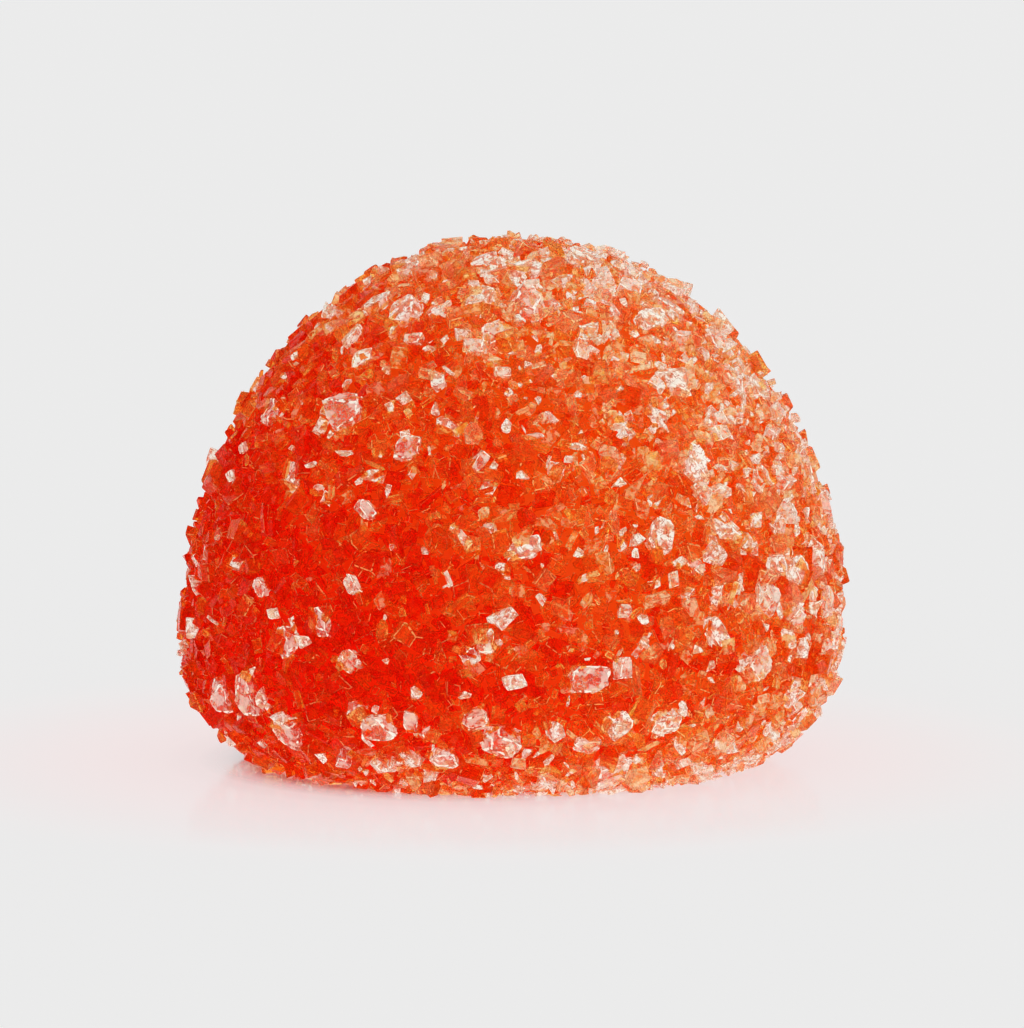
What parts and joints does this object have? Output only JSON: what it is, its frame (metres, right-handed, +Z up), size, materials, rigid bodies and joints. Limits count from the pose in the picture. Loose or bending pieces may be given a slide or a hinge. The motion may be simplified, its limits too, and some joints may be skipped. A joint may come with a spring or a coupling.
{
  "type": "sugar-coated gumdrop",
  "caption": "Dome-shaped fruit jelly sweet with a flat base and a rounded foot, crusted all over with coarse sugar crystals.",
  "frame": {"origin": "middle of the flat base that the sweet rests on", "axes": "+Z up through the top of the dome, -Y towards the viewer of its front, +X to its right"},
  "size_m": [0.0219, 0.0219, 0.0172],
  "materials": {
    "sugared_jelly": "satin",
    "jelly": "satin",
    "sugar": "gloss"
  },
  "bodies": {
    "root": {"gumdrop": "sugared_jelly"}
  },
  "joints": []
}
